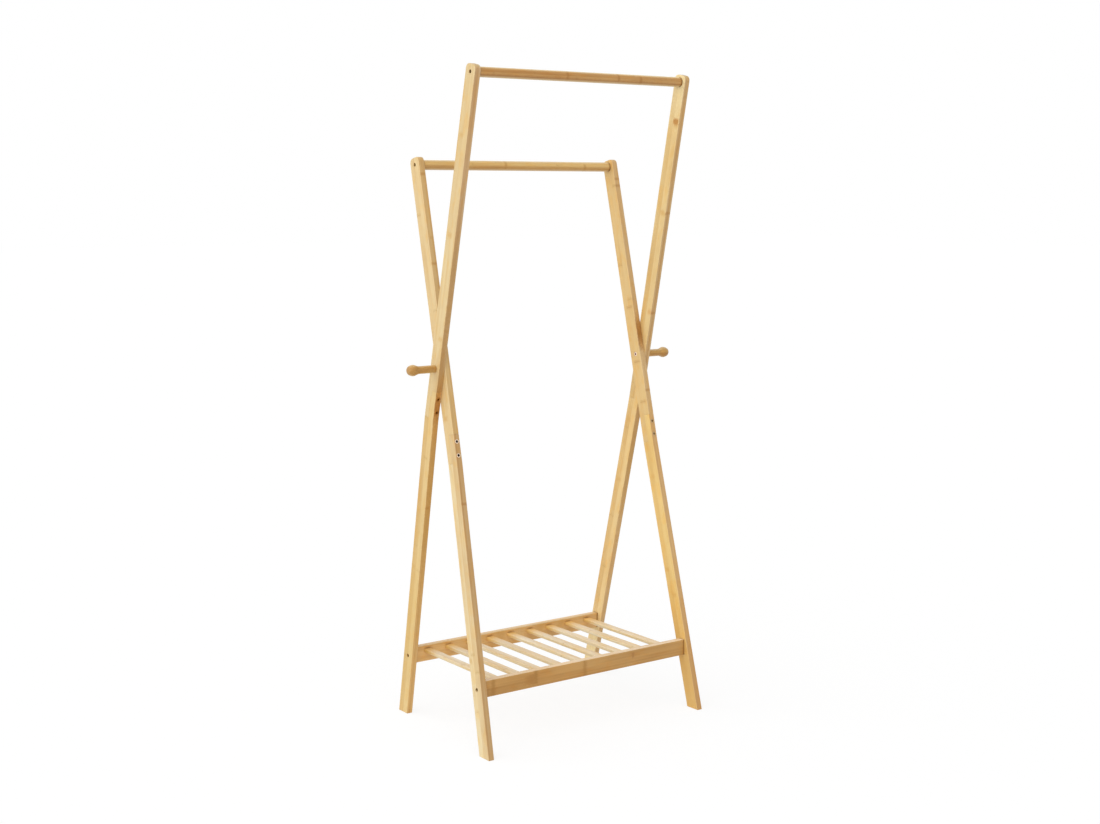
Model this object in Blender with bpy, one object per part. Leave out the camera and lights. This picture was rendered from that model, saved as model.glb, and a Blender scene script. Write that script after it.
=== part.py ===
# Bamboo clothes rack with crossed side frames, two hanging rails, a slatted shoe shelf and two side pegs.
# Metres, +Z up, +X along the rails, the front towards -Y, the origin on the floor under the middle.

import math

import bmesh
import bpy
from mathutils import Matrix, Vector

# Overall sizes
OUTER_WIDTH = 0.6845       # over the tall legs where the legs cross
DEPTH = 0.4738             # over the feet, front to back
HIGH_RAIL_HEIGHT = 1.675   # floor to the middle of the high rail
LOW_RAIL_HEIGHT = 1.4565
HIGH_RAIL_Y = -0.1386
LOW_RAIL_Y = 0.1386
CLEAR = 0.0003             # gap between pieces that touch

# Legs
LEG_WIDTH = 0.0408
LEG_THICKNESS = 0.0169
LEG_TOP = 0.0185           # from the rail's middle to the leg's end, along the leg
LEG_TOP_RADIUS = 0.0125
LEG_EDGE = 0.0014
TALL_LAP_DROP = 0.0912     # from the crossing down to the middle of the lap joint
SHORT_LAP_DROP = 0.200
LAP_LENGTH = 0.074
LAP_SCREW_PITCH = 0.035
LEG_SPREAD = 0.0080        # how far the legs move apart sideways on each metre down
TALL_FOOT_DRIFT = 0.0289   # how far a tall foot stands in from its upper leg's line
SHORT_FOOT_DRIFT = -0.0175 # a short foot stands out instead

# Hanging rails
RAIL_DIAMETER = 0.0252
RAIL_STEPS = 36

# Shelf
SHELF_HEIGHT = 0.1652      # floor to the middle of the shelf rails
SHELF_RAIL_HEIGHT = 0.0428
SHELF_RAIL_THICKNESS = 0.0190
SHELF_RAIL_EDGE = 0.0015
SLAT_COUNT = 9
SLAT_END_SPACE = 0.0401    # from the rear rail's end to the middle of the first slat
SLAT_WIDTH = 0.0230
SLAT_THICKNESS = 0.0093
SLAT_RADIUS = 0.0028
SLAT_DROP = 0.0090         # from the rail's top down to the slat's top
SLAT_HOUSING = 0.0055      # how deep a slat's end sits in its rail

# Pegs
PEG_LENGTH = 0.0792
PEG_SHAFT_DIAMETER = 0.0195
PEG_KNOB_DIAMETER = 0.0285
PEG_KNOB_LENGTH = 0.0325
PEG_TAPER_LENGTH = 0.017
PEG_STEPS = 32

# Screws with a flat round head and a hexagon socket, bright at laps and pegs, dark at the rails' ends
BRIGHT_HEAD_DIAMETER = 0.0112
BRIGHT_SOCKET = 0.0050     # across the flats
BRIGHT_SINK = 0.0004       # from the wood's face down to the head
DARK_HEAD_DIAMETER = 0.0094
DARK_SOCKET = 0.0040
DARK_SINK = 0.0030
SCREW_HEAD_HEIGHT = 0.0030
SCREW_HEAD_EDGE = 0.0005
SCREW_SHANK_DIAMETER = 0.0060
SCREW_SOCKET_DEPTH = 0.0020
SCREW_HOLE_OVERRUN = 0.0050    # how far a hole's cutter reaches out of the wood
SCREW_TIP_LENGTH = 0.0018
SCREW_TIP_DIAMETER = 0.0021
SCREW_STEPS = 20
SCREW_GRIP_IN_WOOD = 0.034
SCREW_TIP_MARGIN = 0.002   # wood left between a shelf screw's tip and the first slat
LAP_SCREW_LENGTH = 0.033

# Sizes that follow from the ones above
UPPER_TALL_X = (OUTER_WIDTH - LEG_THICKNESS) / 2
UPPER_SHORT_X = UPPER_TALL_X - LEG_THICKNESS - CLEAR
SHELF_TOP = SHELF_HEIGHT + SHELF_RAIL_HEIGHT / 2
SLAT_HEIGHT = SHELF_TOP - SLAT_DROP - SLAT_THICKNESS / 2


class Leg:
    # A leg's slanted line seen from the side, with the sideways drift of its lower piece.

    def __init__(self, name, rail_y, rail_height, foot_side, centre_x):
        self.name = name
        self.rail_height = rail_height
        self.centre_x = centre_x
        foot_y = foot_side * DEPTH / 2
        for _ in range(6):
            slope = (rail_y - foot_y) / rail_height
            foot_y = foot_side * (DEPTH - LEG_WIDTH * math.hypot(1, slope)) / 2
        self.foot_y = foot_y
        self.slope = (rail_y - foot_y) / rail_height
        self.tilt = -math.atan(self.slope)

    def set_lap(self, height, foot_drift):
        # The lower piece starts at the lap joint and drifts sideways below the joint's lower shoulder.
        self.lap_height = height
        self.lean = foot_drift / (height / math.cos(self.tilt) - LAP_LENGTH / 2)

    def y_at(self, height):
        return self.foot_y + self.slope * height

    def matrix(self, side):
        place = Vector((side * self.centre_x, self.y_at(self.lap_height), self.lap_height))
        return Matrix.Translation(place) @ Matrix.Rotation(self.tilt, 4, "X")

    def drift(self, below):
        # Sideways offset of the centre line at a distance below the lap joint's lower shoulder.
        return -self.lean * max(0.0, below)

    def spread_at(self, y, z):
        # How far the legs have moved apart at a point given in the leg's own coordinates.
        return spread(self.lap_height + y * math.sin(self.tilt) + z * math.cos(self.tilt))

    def inner_face_x(self, y, height):
        # Distance from the middle plane to the face that looks at the other side frame.
        local = Matrix.Rotation(-self.tilt, 3, "X") @ Vector(
            (0.0, y - self.y_at(self.lap_height), height - self.lap_height)
        )
        below = -LAP_LENGTH / 2 - local.z
        return self.centre_x + spread(height) + self.drift(below) - LEG_THICKNESS / 2

    def outer_face_x(self, y, height):
        return self.inner_face_x(y, height) + LEG_THICKNESS

    def foot_z(self, y):
        # Where the leg's own lengthwise coordinate meets the floor.
        return (-self.lap_height - math.sin(self.tilt) * y) / math.cos(self.tilt)


def spread(height):
    # Both legs of a side move outwards together on the way down, starting from the crossing.
    return LEG_SPREAD * (CROSSING_HEIGHT - height)


class ScrewKind:
    # A head's diameter, its socket's width and how deep it sits under the wood's face.

    def __init__(self, head_diameter, socket, sink):
        self.head_diameter = head_diameter
        self.socket = socket
        self.sink = sink


BRIGHT = ScrewKind(BRIGHT_HEAD_DIAMETER, BRIGHT_SOCKET, BRIGHT_SINK)
DARK = ScrewKind(DARK_HEAD_DIAMETER, DARK_SOCKET, DARK_SINK)
TALL = Leg("tall_leg", HIGH_RAIL_Y, HIGH_RAIL_HEIGHT, 1, UPPER_TALL_X)
SHORT = Leg("short_leg", LOW_RAIL_Y, LOW_RAIL_HEIGHT, -1, UPPER_SHORT_X)
CROSSING_HEIGHT = (SHORT.foot_y - TALL.foot_y) / (TALL.slope - SHORT.slope)
TALL.set_lap(CROSSING_HEIGHT - TALL_LAP_DROP, TALL_FOOT_DRIFT)
SHORT.set_lap(CROSSING_HEIGHT - SHORT_LAP_DROP, SHORT_FOOT_DRIFT)
FIRST_SLAT_X = TALL.inner_face_x(TALL.y_at(SHELF_HEIGHT), SHELF_HEIGHT) - SLAT_END_SPACE
SLAT_PITCH = 2 * FIRST_SLAT_X / (SLAT_COUNT - 1)
SIDES = (("left", -1), ("right", 1))


def clear_scene():
    for thing in list(bpy.data.objects):
        bpy.data.objects.remove(thing, do_unlink=True)


def make_material(name, colour, roughness, metallic):
    material = bpy.data.materials.new(name)
    material.use_nodes = True
    shader = material.node_tree.nodes["Principled BSDF"]
    shader.inputs["Base Color"].default_value = (*colour, 1.0)
    shader.inputs["Roughness"].default_value = roughness
    shader.inputs["Metallic"].default_value = metallic
    return material


def bamboo():
    return make_material("bamboo", (0.62, 0.40, 0.18), 0.42, 0.0)


def bamboo_slat():
    return make_material("bamboo_slat", (0.70, 0.50, 0.27), 0.45, 0.0)


def zinc_bright():
    return make_material("zinc_bright", (0.56, 0.53, 0.47), 0.36, 1.0)


def zinc_dark():
    return make_material("zinc_dark", (0.13, 0.11, 0.09), 0.48, 1.0)


def add_object(name, mesh_data, material, matrix=None):
    mesh = bpy.data.meshes.new(name)
    bmesh.ops.recalc_face_normals(mesh_data, faces=mesh_data.faces)
    mesh_data.to_mesh(mesh)
    mesh_data.free()
    thing = bpy.data.objects.new(name, mesh)
    bpy.context.scene.collection.objects.link(thing)
    if material:
        mesh.materials.append(material)
    if matrix is not None:
        thing.matrix_world = matrix
    return thing


def shade_round(thing, angle=0.6):
    for face in thing.data.polygons:
        face.use_smooth = True
    thing.data.set_sharp_from_angle(angle=angle)


def extrude_outline(outline, thickness):
    # Outline points (y, z) pulled along X, half to each side.
    data = bmesh.new()
    points = [data.verts.new((-thickness / 2, y, z)) for y, z in outline]
    face = data.faces.new(points)
    pulled = bmesh.ops.extrude_face_region(data, geom=[face])
    moved = [item for item in pulled["geom"] if isinstance(item, bmesh.types.BMVert)]
    bmesh.ops.translate(data, verts=moved, vec=(thickness, 0, 0))
    return data


def revolve(profile, steps):
    # Profile points (radius, height) turned about Z into one closed body.
    data = bmesh.new()
    points = [data.verts.new((radius, 0, height)) for radius, height in profile]
    for first, second in zip(points, points[1:]):
        data.edges.new((first, second))
    bmesh.ops.spin(
        data, geom=data.verts[:] + data.edges[:], cent=(0, 0, 0), axis=(0, 0, 1),
        angle=2 * math.pi, steps=steps, use_merge=True,
    )
    bmesh.ops.remove_doubles(data, verts=data.verts, dist=1e-6)
    return data


def weigh_edges(data, chosen):
    layer = data.edges.layers.float.new("bevel_weight_edge")
    for edge in data.edges:
        if chosen(edge):
            edge[layer] = 1.0


def add_bevel(thing, width, segments=2):
    bevel = thing.modifiers.new("rounded edges", "BEVEL")
    bevel.width = width
    bevel.segments = segments
    bevel.limit_method = "WEIGHT"
    bevel.use_clamp_overlap = False


def cut(thing, cutter):
    boolean = thing.modifiers.new("cut " + cutter.name, "BOOLEAN")
    boolean.operation = "DIFFERENCE"
    boolean.solver = "EXACT"
    boolean.object = cutter


def hide_cutter(cutter):
    cutter.hide_render = True
    cutter.display_type = "WIRE"
    return cutter


def screw_matrix(kind, seat, direction):
    # The screw's own -Z points along its shank; its head's top is at the origin.
    turn = (-direction).to_track_quat("Z", "Y").to_matrix().to_4x4()
    return Matrix.Translation(seat + direction * kind.sink) @ turn


def screw_profile(kind, length, grow):
    head = kind.head_diameter / 2 + grow
    shank = SCREW_SHANK_DIAMETER / 2 + grow
    return head, shank, -SCREW_HEAD_HEIGHT - grow, -length - grow


def add_screw(name, kind, seat, direction, length, material):
    head, shank, under_head, tip = screw_profile(kind, length, 0.0)
    lip = SCREW_HEAD_EDGE
    profile = [
        (0.0, 0.0), (head - lip, 0.0), (head, -lip), (head, under_head),
        (shank, under_head), (shank, tip + SCREW_TIP_LENGTH), (SCREW_TIP_DIAMETER / 2, tip), (0.0, tip),
    ]
    place = screw_matrix(kind, seat, direction)
    thing = add_object(name, revolve(profile, SCREW_STEPS), material, place)
    socket = bmesh.new()
    bmesh.ops.create_cone(
        socket, cap_ends=True, segments=6, depth=SCREW_SOCKET_DEPTH * 2,
        radius1=kind.socket / math.sqrt(3), radius2=kind.socket / math.sqrt(3),
    )
    cutter = hide_cutter(add_object(name + "_socket", socket, None, place))
    cut(thing, cutter)
    shade_round(thing)
    return thing


def add_screw_hole(name, kind, seat, direction, length):
    head, shank, under_head, tip = screw_profile(kind, length, CLEAR)
    out = kind.sink + SCREW_HOLE_OVERRUN
    profile = [(0.0, out), (head, out), (head, under_head), (shank, under_head), (shank, tip), (0.0, tip)]
    hole = revolve(profile, SCREW_STEPS)
    return hide_cutter(add_object(name + "_hole", hole, None, screw_matrix(kind, seat, direction)))


def round_corner(centre, start_angle, radius, count=6):
    turns = [start_angle + math.pi / 2 * step / count for step in range(count + 1)]
    return [(centre[0] + radius * math.cos(a), centre[1] + radius * math.sin(a)) for a in turns]


def lap_edge(edge):
    # Edges on the hidden faces of a lap joint stay sharp.
    half = LAP_LENGTH / 2 + CLEAR * 2
    on_cheek = all(abs(v.co.y) < CLEAR for v in edge.verts)
    across = abs(edge.verts[0].co.z - edge.verts[1].co.z) < 1e-6
    in_lap = all(abs(v.co.z) < half for v in edge.verts)
    return on_cheek or (across and in_lap)


def on_one_side(edge):
    return abs(edge.verts[0].co.x - edge.verts[1].co.x) < 1e-3


def upper_leg(leg, side_name, side, material):
    half = LEG_WIDTH / 2
    lap = LAP_LENGTH / 2
    top = (leg.rail_height - leg.lap_height) / math.cos(leg.tilt) + LEG_TOP
    corner = top - LEG_TOP_RADIUS
    outline = [(half, -lap + CLEAR)]
    outline += round_corner((half - LEG_TOP_RADIUS, corner), 0.0, LEG_TOP_RADIUS)
    outline += round_corner((-half + LEG_TOP_RADIUS, corner), math.pi / 2, LEG_TOP_RADIUS)
    outline += [(-half, lap), (CLEAR / 2, lap), (CLEAR / 2, -lap + CLEAR)]
    data = extrude_outline(outline, LEG_THICKNESS)
    weigh_edges(data, lambda edge: on_one_side(edge) and not lap_edge(edge))
    for vert in data.verts:
        vert.co.x += side * leg.spread_at(vert.co.y, vert.co.z)
    name = f"{leg.name}_upper_{side_name}"
    thing = add_object(name, data, material, leg.matrix(side))
    add_bevel(thing, LEG_EDGE)
    return thing


def lower_leg(leg, side_name, side, material):
    half = LEG_WIDTH / 2
    lap = LAP_LENGTH / 2
    outline = [
        (-half, leg.foot_z(-half)), (half, leg.foot_z(half)), (half, -lap),
        (-CLEAR / 2, -lap), (-CLEAR / 2, lap - CLEAR), (-half, lap - CLEAR),
    ]
    data = extrude_outline(outline, LEG_THICKNESS)
    bmesh.ops.bisect_plane(
        data, geom=data.verts[:] + data.edges[:] + data.faces[:], plane_co=(0, 0, -lap), plane_no=(0, 0, 1)
    )
    weigh_edges(data, lambda edge: on_one_side_of_leg(edge) and not lap_edge(edge))
    for vert in data.verts:
        vert.co.x += side * (leg.spread_at(vert.co.y, vert.co.z) + leg.drift(-lap - vert.co.z))
    name = f"{leg.name}_lower_{side_name}"
    thing = add_object(name, data, material, leg.matrix(side))
    add_bevel(thing, LEG_EDGE)
    return thing


def on_one_side_of_leg(edge):
    # Leaves out the ring of edges where the lower piece starts to drift.
    lap = LAP_LENGTH / 2
    return on_one_side(edge) and any(abs(v.co.z + lap) > 1e-5 for v in edge.verts)


def lap_screws(leg, side_name, side, upper, lower, material):
    for place, step in (("top", 0.5), ("bottom", -0.5)):
        matrix = leg.matrix(side)
        y = -LEG_WIDTH / 2
        z = step * LAP_SCREW_PITCH
        seat = matrix @ Vector((side * leg.spread_at(y, z), y, z))
        direction = matrix.to_3x3() @ Vector((0, 1, 0))
        name = f"lap_screw_{leg.name[:-4]}_{side_name}_{place}"
        add_screw(name, BRIGHT, seat, direction, LAP_SCREW_LENGTH, material)
        hole = add_screw_hole(name, BRIGHT, seat, direction, LAP_SCREW_LENGTH)
        cut(upper, hole)
        cut(lower, hole)


def hanging_rail(name, leg, material):
    radius = RAIL_DIAMETER / 2
    y = leg.y_at(leg.rail_height)
    reach = leg.inner_face_x(y, leg.rail_height + radius) - CLEAR
    profile = [(0.0, reach), (radius, reach), (radius, -reach), (0.0, -reach)]
    place = Matrix.Translation((0, y, leg.rail_height))
    place = place @ Matrix.Rotation(math.pi / 2, 4, "Y")
    thing = add_object(name, revolve(profile, RAIL_STEPS), material, place)
    shade_round(thing)
    return thing


def shelf_screw_grip(leg):
    free = leg.inner_face_x(leg.y_at(SHELF_HEIGHT), SHELF_HEIGHT) - FIRST_SLAT_X - SLAT_WIDTH / 2
    return min(SCREW_GRIP_IN_WOOD, free - SCREW_TIP_MARGIN)


def end_screw(name, leg, side, height, grip, leg_piece, rail, material):
    y = leg.y_at(height)
    seat = Vector((side * leg.outer_face_x(y, height), y, height))
    direction = Vector((-side, 0, 0))
    length = LEG_THICKNESS + grip - DARK.sink
    add_screw(name, DARK, seat, direction, length, material)
    hole = add_screw_hole(name, DARK, seat, direction, length)
    cut(leg_piece, hole)
    cut(rail, hole)


def shelf_rail(name, leg, material):
    y_middle = leg.y_at(SHELF_HEIGHT)
    data = bmesh.new()
    bmesh.ops.create_cube(data, size=1.0)
    for vert in data.verts:
        side = math.copysign(1, vert.co.x)
        y = y_middle + math.copysign(SHELF_RAIL_THICKNESS / 2, vert.co.y)
        height = SHELF_HEIGHT + math.copysign(SHELF_RAIL_HEIGHT / 2, vert.co.z)
        vert.co = Vector((side * (leg.inner_face_x(y, height) - CLEAR), y, height))
    weigh_edges(data, lambda edge: abs(edge.verts[0].co.x - edge.verts[1].co.x) > SHELF_RAIL_HEIGHT * 2)
    thing = add_object(name, data, material)
    add_bevel(thing, SHELF_RAIL_EDGE)
    return thing


def slat_outline(grow):
    half_width = SLAT_WIDTH / 2 + grow
    half_thickness = SLAT_THICKNESS / 2 + grow
    radius = SLAT_RADIUS + grow
    points = []
    for turn, (x_sign, z_sign) in enumerate(((1, 1), (-1, 1), (-1, -1), (1, -1))):
        centre = (x_sign * (half_width - radius), z_sign * (half_thickness - radius))
        points += round_corner(centre, turn * math.pi / 2, radius, 3)
    return points


def slat_body(reach, grow):
    data = bmesh.new()
    face = data.faces.new([data.verts.new((x, -reach, z)) for x, z in slat_outline(grow)])
    pulled = bmesh.ops.extrude_face_region(data, geom=[face])
    moved = [item for item in pulled["geom"] if isinstance(item, bmesh.types.BMVert)]
    bmesh.ops.translate(data, verts=moved, vec=(0, reach * 2, 0))
    return data


def slats(front_rail, rear_rail, material):
    front = SHORT.y_at(SHELF_HEIGHT) + SHELF_RAIL_THICKNESS / 2
    rear = TALL.y_at(SHELF_HEIGHT) - SHELF_RAIL_THICKNESS / 2
    y_middle = (front + rear) / 2
    reach = (rear - front) / 2 + SLAT_HOUSING
    for index in range(SLAT_COUNT):
        x = index * SLAT_PITCH - FIRST_SLAT_X
        place = Matrix.Translation((x, y_middle, SLAT_HEIGHT))
        thing = add_object(f"slat_{index + 1}", slat_body(reach, 0.0), material, place)
        shade_round(thing)
        pocket = hide_cutter(
            add_object(f"slat_{index + 1}_pocket", slat_body(reach + CLEAR, CLEAR), None, place)
        )
        cut(front_rail, pocket)
        cut(rear_rail, pocket)


def peg(side_name, side, material):
    # Turned about Z: the root is at height 0 and the knob is at the far end.
    shaft = PEG_SHAFT_DIAMETER / 2
    knob = PEG_KNOB_DIAMETER / 2
    taper_start = PEG_LENGTH - PEG_KNOB_LENGTH
    shoulder = PEG_LENGTH - PEG_KNOB_LENGTH + PEG_TAPER_LENGTH
    rise = PEG_LENGTH - shoulder
    profile = [(0.0, 0.0), (shaft - 0.0006, 0.0), (shaft, 0.0006), (shaft, taper_start)]
    for step in range(1, 7):
        part = step / 6
        ease = part * part * (3 - 2 * part)
        profile.append((shaft + (knob - shaft) * ease, taper_start + PEG_TAPER_LENGTH * part))
    for step in range(1, 8):
        angle = step / 8 * math.pi / 2
        profile.append((knob * math.cos(angle) ** 0.55, shoulder + rise * math.sin(angle) ** 1.25))
    profile.append((0.0, PEG_LENGTH))
    height = CROSSING_HEIGHT
    y = TALL.y_at(height)
    root = Vector((side * (TALL.outer_face_x(y, height - shaft) + CLEAR), y, height))
    place = Matrix.Translation(root) @ Matrix.Rotation(side * math.pi / 2, 4, "Y")
    thing = add_object(f"peg_{side_name}", revolve(profile, PEG_STEPS), material, place)
    shade_round(thing)
    return thing


def peg_screw(side_name, side, peg_piece, tall_piece, short_piece, material):
    height = CROSSING_HEIGHT
    seat = Vector((side * (UPPER_SHORT_X - LEG_THICKNESS / 2), TALL.y_at(height), height))
    direction = Vector((side, 0, 0))
    length = LEG_THICKNESS * 2 + SCREW_GRIP_IN_WOOD - BRIGHT.sink
    name = f"peg_screw_{side_name}"
    add_screw(name, BRIGHT, seat, direction, length, material)
    hole = add_screw_hole(name, BRIGHT, seat, direction, length)
    for piece in (peg_piece, tall_piece, short_piece):
        cut(piece, hole)


def build():
    clear_scene()
    wood = bamboo()
    slat_wood = bamboo_slat()
    bright_steel = zinc_bright()
    dark_steel = zinc_dark()
    high = hanging_rail("high_hanging_rail", TALL, wood)
    low = hanging_rail("low_hanging_rail", SHORT, wood)
    front = shelf_rail("shelf_rail_front", SHORT, wood)
    rear = shelf_rail("shelf_rail_rear", TALL, wood)
    slats(front, rear, slat_wood)
    for side_name, side in SIDES:
        uppers = {}
        for leg, rail, shelf in ((TALL, high, rear), (SHORT, low, front)):
            upper = upper_leg(leg, side_name, side, wood)
            lower = lower_leg(leg, side_name, side, wood)
            uppers[leg.name] = upper
            lap_screws(leg, side_name, side, upper, lower, bright_steel)
            short_name = leg.name[:-4]
            end_screw(
                f"rail_screw_{short_name}_{side_name}", leg, side, leg.rail_height, SCREW_GRIP_IN_WOOD,
                upper, rail, dark_steel,
            )
            end_screw(
                f"shelf_screw_{short_name}_{side_name}", leg, side, SHELF_HEIGHT, shelf_screw_grip(leg),
                lower, shelf, dark_steel,
            )
        peg_piece = peg(side_name, side, wood)
        peg_screw(side_name, side, peg_piece, uppers["tall_leg"], uppers["short_leg"], bright_steel)


build()
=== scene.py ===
import bpy
import math
from mathutils import Matrix, Vector


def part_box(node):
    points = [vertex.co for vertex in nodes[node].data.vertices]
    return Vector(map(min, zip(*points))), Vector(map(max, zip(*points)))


print("stage: frame")
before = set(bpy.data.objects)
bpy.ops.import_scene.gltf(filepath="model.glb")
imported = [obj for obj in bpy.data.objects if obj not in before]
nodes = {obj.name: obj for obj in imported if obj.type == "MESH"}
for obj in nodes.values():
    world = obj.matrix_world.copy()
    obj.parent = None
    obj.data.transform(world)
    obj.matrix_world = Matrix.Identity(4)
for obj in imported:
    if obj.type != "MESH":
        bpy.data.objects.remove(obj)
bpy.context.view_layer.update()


class Wiring:
    # short calls that add and join the nodes of one shader tree

    def __init__(self, tree):
        self.tree = tree

    def add(self, kind, **values):
        node = self.tree.nodes.new(kind)
        for key, value in values.items():
            setattr(node, key, value)
        return node

    def put(self, socket, value):
        if isinstance(value, bpy.types.NodeSocket):
            self.tree.links.new(value, socket)
        else:
            socket.default_value = value

    def math(self, operation, *values):
        node = self.add("ShaderNodeMath", operation=operation)
        for socket, value in zip(node.inputs, values):
            self.put(socket, value)
        return node.outputs[0]

    def times(self, *values):
        result = values[0]
        for value in values[1:]:
            result = self.math("MULTIPLY", result, value)
        return result

    def plus(self, *values):
        result = values[0]
        for value in values[1:]:
            result = self.math("ADD", result, value)
        return result

    def minus(self, a, b):
        return self.math("SUBTRACT", a, b)

    def size(self, value):
        return self.math("ABSOLUTE", value)

    def mix(self, amount, a, b, blend="MIX"):
        node = self.add("ShaderNodeMix", data_type="RGBA", blend_type=blend)
        self.put(node.inputs[0], amount)
        self.put(node.inputs[6], a)
        self.put(node.inputs[7], b)
        return node.outputs[2]

    def ease(self, value, low, high, toLow=0.0, toHigh=1.0):
        node = self.add("ShaderNodeMapRange", interpolation_type="SMOOTHSTEP")
        for socket, part in zip(node.inputs[:5], (value, low, high, toLow, toHigh)):
            self.put(socket, part)
        return node.outputs[0]

    def vector(self, operation, a, b):
        node = self.add("ShaderNodeVectorMath", operation=operation)
        self.put(node.inputs[0], a)
        self.put(node.inputs[1], b)
        return node.outputs["Value" if operation == "DOT_PRODUCT" else "Vector"]

    def noise(self, vector, stretch, detail, rough):
        node = self.add("ShaderNodeTexNoise")
        self.put(node.inputs["Vector"], self.vector("MULTIPLY", vector, stretch))
        node.inputs["Scale"].default_value = 1.0
        node.inputs["Detail"].default_value = detail
        node.inputs["Roughness"].default_value = rough
        return node.outputs[0]

    def chance(self, vector):
        node = self.add("ShaderNodeTexWhiteNoise", noise_dimensions="3D")
        self.put(node.inputs["Vector"], vector)
        return node.outputs[0]

    def combine(self, x, y, z):
        node = self.add("ShaderNodeCombineXYZ")
        for socket, part in zip(node.inputs, (x, y, z)):
            self.put(socket, part)
        return node.outputs[0]

    def split(self, vector):
        node = self.add("ShaderNodeSeparateXYZ")
        self.put(node.inputs[0], vector)
        return node.outputs

    def bump(self, height, strength, distance):
        node = self.add("ShaderNodeBump")
        for label, value in (("Height", height), ("Strength", strength), ("Distance", distance)):
            self.put(node.inputs[label], value)
        return node.outputs[0]

    def group(self, tree, values):
        node = self.add("ShaderNodeGroup", node_tree=tree)
        for label, value in values.items():
            self.put(node.inputs[label], value)
        return node.outputs


def newGroup(name, inputs, outputs):
    tree = bpy.data.node_groups.new(name, "ShaderNodeTree")
    for label, kind, value in inputs:
        socket = tree.interface.new_socket(name=label, in_out="INPUT", socket_type=kind)
        socket.default_value = value
    for label, kind in outputs:
        tree.interface.new_socket(name=label, in_out="OUTPUT", socket_type=kind)
    w = Wiring(tree)
    return tree, w, w.add("NodeGroupInput").outputs, w.add("NodeGroupOutput").inputs


vectorKind, floatKind, colorKind = "NodeSocketVector", "NodeSocketFloat", "NodeSocketColor"

# every Vector below is in metres: X through the thickness, Y across the width, Z along the stalk

grainTones = {
    "warm": (1.0, 0.925, 0.80, 1),       # tint of the more orange strips
    "fleck": (0.54, 0.33, 0.12, 1),
    "stain": (0.52, 0.29, 0.10, 1),
    "halo": (0.60, 0.385, 0.145, 1),     # soft band round a knuckle
    "glow": (1.02, 0.93, 0.74, 1),       # tint of the small golden patches
    "line": (0.46, 0.235, 0.07, 1),
    "seam": (0.45, 0.27, 0.11, 1),
}

# how often each noise changes per metre along X, Y and Z, its detail and its roughness
grainNoise = {
    "fibre": ((1500, 1500, 9), 2.0, 0.6),
    "fleck": ((2100, 2100, 55), 1.0, 0.5),
    "streak": ((260, 260, 2.2), 3.0, 0.5),
    "cloud": ((22, 22, 6.0), 2.0, 0.5),
    "drift": ((9, 9, 3.2), 1.0, 0.5),
    "wander": ((120, 120, 30), 1.0, 0.5),
    "fade": ((150, 150, 3), 2.0, 0.5),
    "seam": ((40, 40, 9), 1.0, 0.5),
    "stain": ((60, 60, 16), 3.0, 0.5),
    "glow": ((55, 55, 26), 2.0, 0.5),
}

# the part of each noise that shows: from, to and, where they aren't 0 and 1, the two results
grainRanges = {
    "depth": (0.25, 0.79),
    "drift": (0.42, 0.66, 0.0, 0.55),
    "fade": (0.30, 0.55, 0.35, 1.0),
    "seam": (0.40, 0.60, 0.15, 1.0),
    "fleck": (0.60, 0.74),
    "stain": (0.58, 0.76),
    "glow": (0.47, 0.70),
}

# steps that keep the random values of strips, knuckles and noises apart
grainSteps = {
    "outerLayers": (-0.9, 1.9),          # the first and the last strip through the thickness
    "strip": (7.3, 3.1, 1.7),
    "toneJump": 3.0, "seedJump": 0.37, "knuckleShift": 1.7,
    "ticket": (3.7, 5.3, 1.0),
    "luck": (0.5, 9.5, 4.5),
    "stain": (0.4, 0.2, 0.9),
    "glow": (1.4, 0.9, 0.2),
}

# where a seam begins and ends, in parts of a strip's width and depth
seamForm = {"widthEdge": (0.484, 0.498), "depthEdge": (0.008, 0.045, 1.0, 0.0)}

grainAmounts = {
    "streak": 0.40, "cloud": 0.55, "strip": 0.26, "fibre": 0.20,     # what makes a place lighter or deeper
    "stripWarmth": 0.45,
    "fleck": 0.20, "glow": 0.85, "halo": 0.26, "line": 0.46, "seam": 0.09,
    "roughness": 0.34, "fibreRoughness": 0.14, "lineRoughness": 0.10,
    "fibreHeight": 0.35, "haloHeight": 0.25, "lineHeight": 0.7, "seamHeight": 0.4,
}

# a knuckle's two lines and soft band: their places along the stalk and how they fade
knuckleForm = {
    "bow": 0.006,
    "wander": 0.0035,
    "firstLine": (0.0002, 0.0012, 1.0, 0.0),
    "secondLine": (0.0002, 0.0010, 0.5, 0.0),
    "secondAway": 0.0034,
    "halo": (0.0005, 0.0085, 1.0, 0.0),
    "haloAway": 0.0015,
    "firstPlace": 0.25,       # a knuckle stands from here on in its gap, in parts of the gap
    "placeRange": 0.5,
}


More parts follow.
